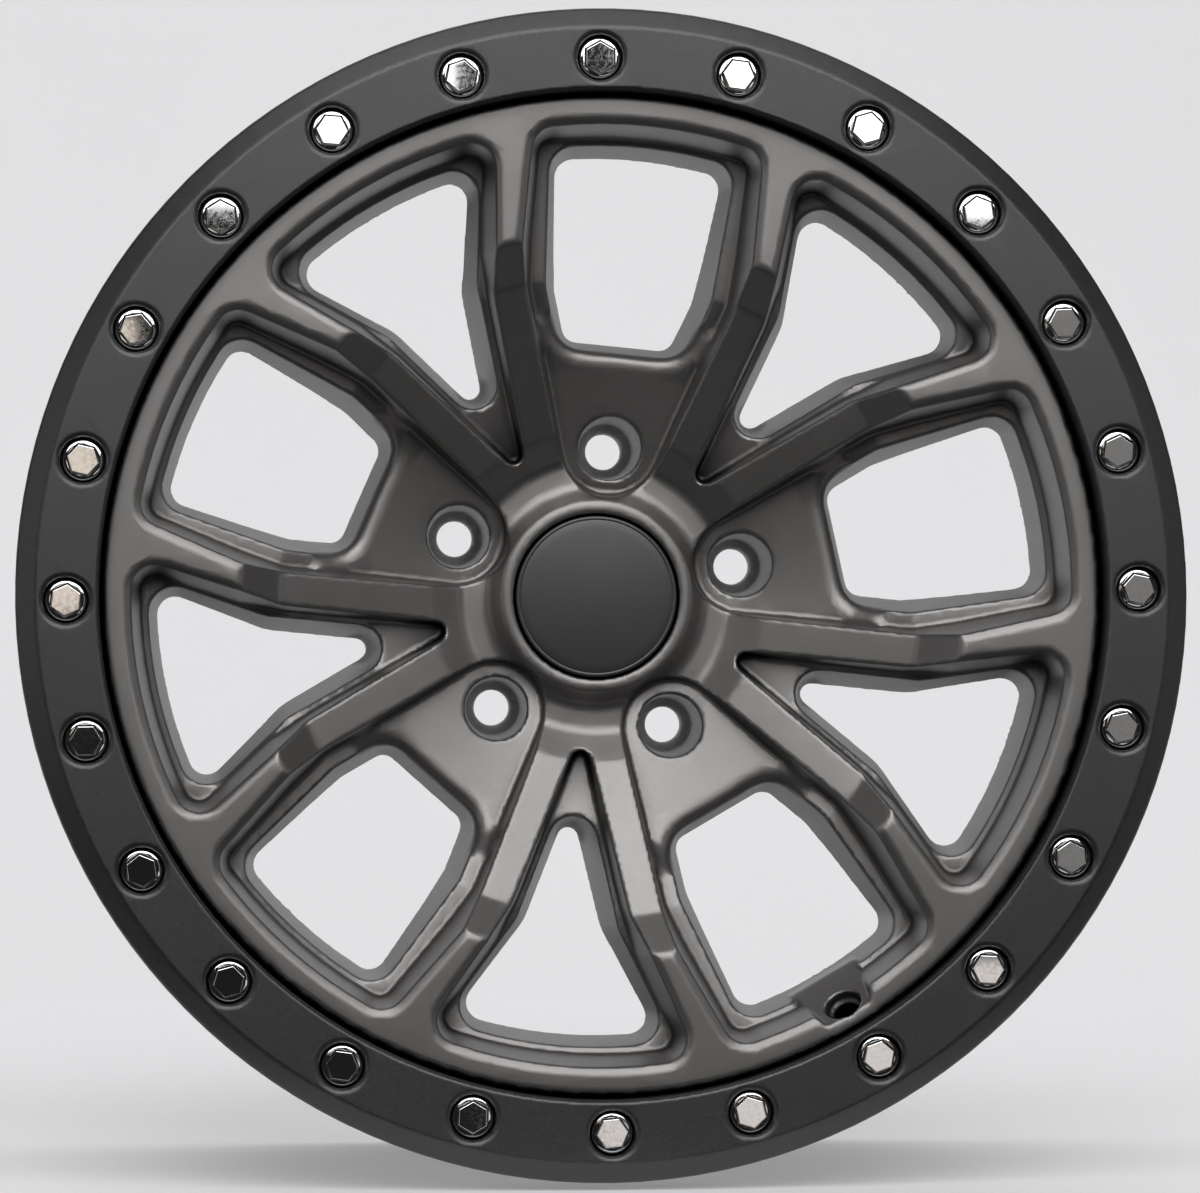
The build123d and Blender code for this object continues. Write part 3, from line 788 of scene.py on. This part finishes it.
def clear_from_behind(tree, shader):
    """Lets a camera that stands behind the paper look through it."""
    side = tree.nodes.new("ShaderNodeNewGeometry")
    path = tree.nodes.new("ShaderNodeLightPath")
    both = tree.nodes.new("ShaderNodeMath")
    both.operation = "MULTIPLY"
    tree.links.new(side.outputs["Backfacing"], both.inputs[0])
    tree.links.new(path.outputs["Is Camera Ray"], both.inputs[1])
    clear = tree.nodes.new("ShaderNodeBsdfTransparent")
    mix = tree.nodes.new("ShaderNodeMixShader")
    tree.links.new(both.outputs["Value"], mix.inputs["Fac"])
    tree.links.new(shader.outputs["BSDF"], mix.inputs[1])
    tree.links.new(clear.outputs["BSDF"], mix.inputs[2])
    tree.links.new(mix.outputs["Shader"], tree.nodes["Material Output"].inputs["Surface"])


def add_paper(settings):
    """A sheet of pale paper that lies under the wheel and turns up behind it."""
    bm = bmesh.new()
    floor_z = CAD_BOX[0][2]
    half = settings.paper_half
    profile = (
        (settings.paper_front, floor_z),
        (settings.paper_fold, floor_z),
        (settings.paper_fold, floor_z + settings.paper_height),
    )
    rows = [[bm.verts.new((x, y, z)) for x in (-half, half)] for y, z in profile]
    for near, far in zip(rows, rows[1:]):
        bm.faces.new((near[0], near[1], far[1], far[0]))
    left, right = rows[1]
    fold = [e for e in left.link_edges if e.other_vert(left) is right]
    bmesh.ops.bevel(bm, geom=fold, offset=settings.paper_round, offset_type="OFFSET", segments=FOLD_STEPS,
                    profile=0.5, affect="EDGES", material=-1)
    bmesh.ops.recalc_face_normals(bm, faces=bm.faces)
    if sum(face.normal.z for face in bm.faces) < 0:
        bmesh.ops.reverse_faces(bm, faces=bm.faces)
    for face in bm.faces:
        face.smooth = True
    mesh = bpy.data.meshes.new("paper_sweep")
    bm.to_mesh(mesh)
    bm.free()
    mesh.materials.append(pale_surface(settings))
    sweep = bpy.data.objects.new("paper_sweep", mesh)
    bpy.context.scene.collection.objects.link(sweep)


def add_room(settings):
    """The dim room round the stage."""
    world = bpy.data.worlds.new("studio")
    world.use_nodes = True
    background = world.node_tree.nodes["Background"]
    background.inputs["Color"].default_value = (1, 1, 1, 1)
    background.inputs["Strength"].default_value = settings.room
    bpy.context.scene.world = world


class WHEEL_OT_stage(bpy.types.Operator):
    """Set the camera, the pale floor and backdrop, and the studio light"""
    bl_idname = "wheel.stage"
    bl_label = "Stage"

    def execute(self, context):
        settings = context.scene.wheel_stage
        add_camera(settings)
        add_paper(settings)
        for name, lamp in context.scene.wheel_lamps.items():
            # The back softbox lights the backdrop, and the other lamps face the wheel
            aim = (0, settings.paper_fold, 0) if name == "back_softbox" else (0, 0, 0)
            add_lamp(name, lamp, aim)
        add_room(settings)
        context.scene.view_settings.view_transform = "Standard"
        return {"FINISHED"}


class WHEEL_PT_panel(bpy.types.Panel):
    """Lists the steps that dress the wheel"""
    bl_idname = "WHEEL_PT_panel"
    bl_label = "Beadlock wheel"
    bl_space_type = "VIEW_3D"
    bl_region_type = "UI"
    bl_category = "Wheel"

    def draw(self, context):
        for step in STEPS:
            self.layout.operator(step.bl_idname)


SETTINGS = {
    "wheel_casting": CastingSettings,
    "wheel_ring": RingSettings,
    "wheel_bolts": BoltSettings,
    "wheel_cap": CapSettings,
    "wheel_stage": StageSettings,
}
STEPS = (WHEEL_OT_casting, WHEEL_OT_ring, WHEEL_OT_bolts, WHEEL_OT_cap, WHEEL_OT_stage)


def register():
    """Registers the settings, operators and panel."""
    for name, group in SETTINGS.items():
        bpy.utils.register_class(group)
        setattr(bpy.types.Scene, name, bpy.props.PointerProperty(type=group))
    bpy.utils.register_class(LampSettings)
    bpy.types.Scene.wheel_lamps = bpy.props.CollectionProperty(type=LampSettings)
    for cls in STEPS + (WHEEL_PT_panel,):
        bpy.utils.register_class(cls)


def unregister():
    """Removes what register added."""
    for cls in (WHEEL_PT_panel,) + STEPS:
        bpy.utils.unregister_class(cls)
    del bpy.types.Scene.wheel_lamps
    bpy.utils.unregister_class(LampSettings)
    for name, group in SETTINGS.items():
        delattr(bpy.types.Scene, name)
        bpy.utils.unregister_class(group)


def main():
    """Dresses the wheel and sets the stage."""
    register()
    for name, (place, size, shine, tint) in LAMPS.items():
        lamp = bpy.context.scene.wheel_lamps.add()
        lamp.name = name
        lamp.place, lamp.size, lamp.shine, lamp.tint = place, size, shine, tint
    bpy.ops.wheel.casting()
    bpy.ops.wheel.ring()
    bpy.ops.wheel.bolts()
    bpy.ops.wheel.cap()
    bpy.ops.wheel.stage()


if __name__ == "__main__":
    main()
